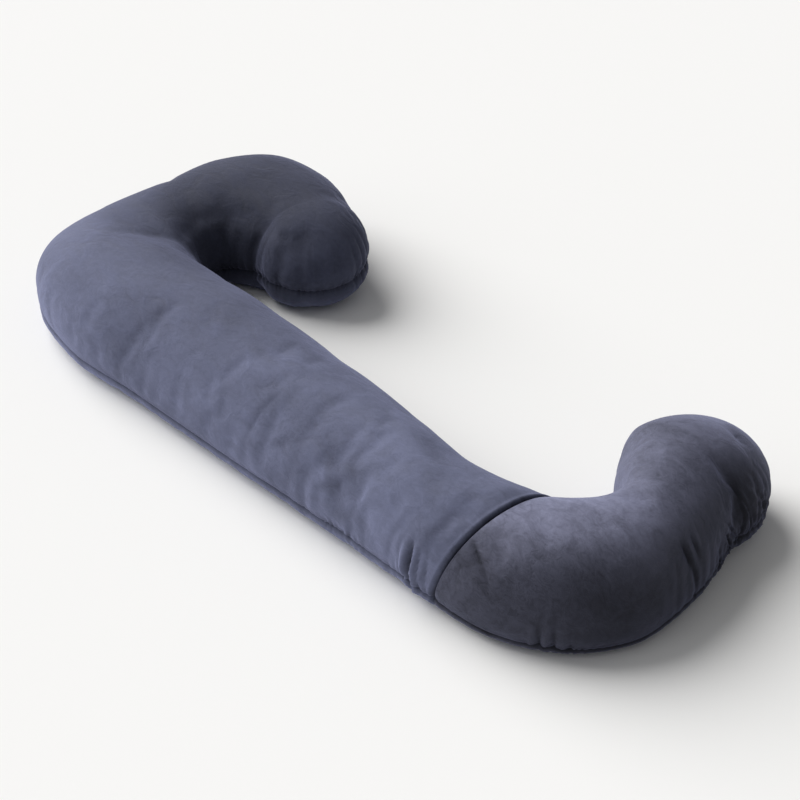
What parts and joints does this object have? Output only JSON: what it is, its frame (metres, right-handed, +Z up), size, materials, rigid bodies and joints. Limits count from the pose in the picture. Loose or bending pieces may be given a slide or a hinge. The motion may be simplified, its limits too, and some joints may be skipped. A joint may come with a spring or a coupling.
{
  "type": "c-shaped pregnancy pillow",
  "caption": "Filled velvet body pillow lying flat: a long crowned section with a head hook, sewn at a cross seam to a foot hook that curls the same way.",
  "frame": {"origin": "on the floor plane, at the middle of the footprint's box", "axes": "+X along the pillow from the head hook to the foot hook, +Y from the back edge towards the hooks' open side, +Z up"},
  "size_m": [1.4404, 0.6462, 0.1854],
  "materials": {
    "velvet": "soft brushed velvet, slate grey with a violet cast"
  },
  "bodies": {
    "root": {"body_cushion": "velvet", "foot_cushion": "velvet"}
  },
  "joints": []
}
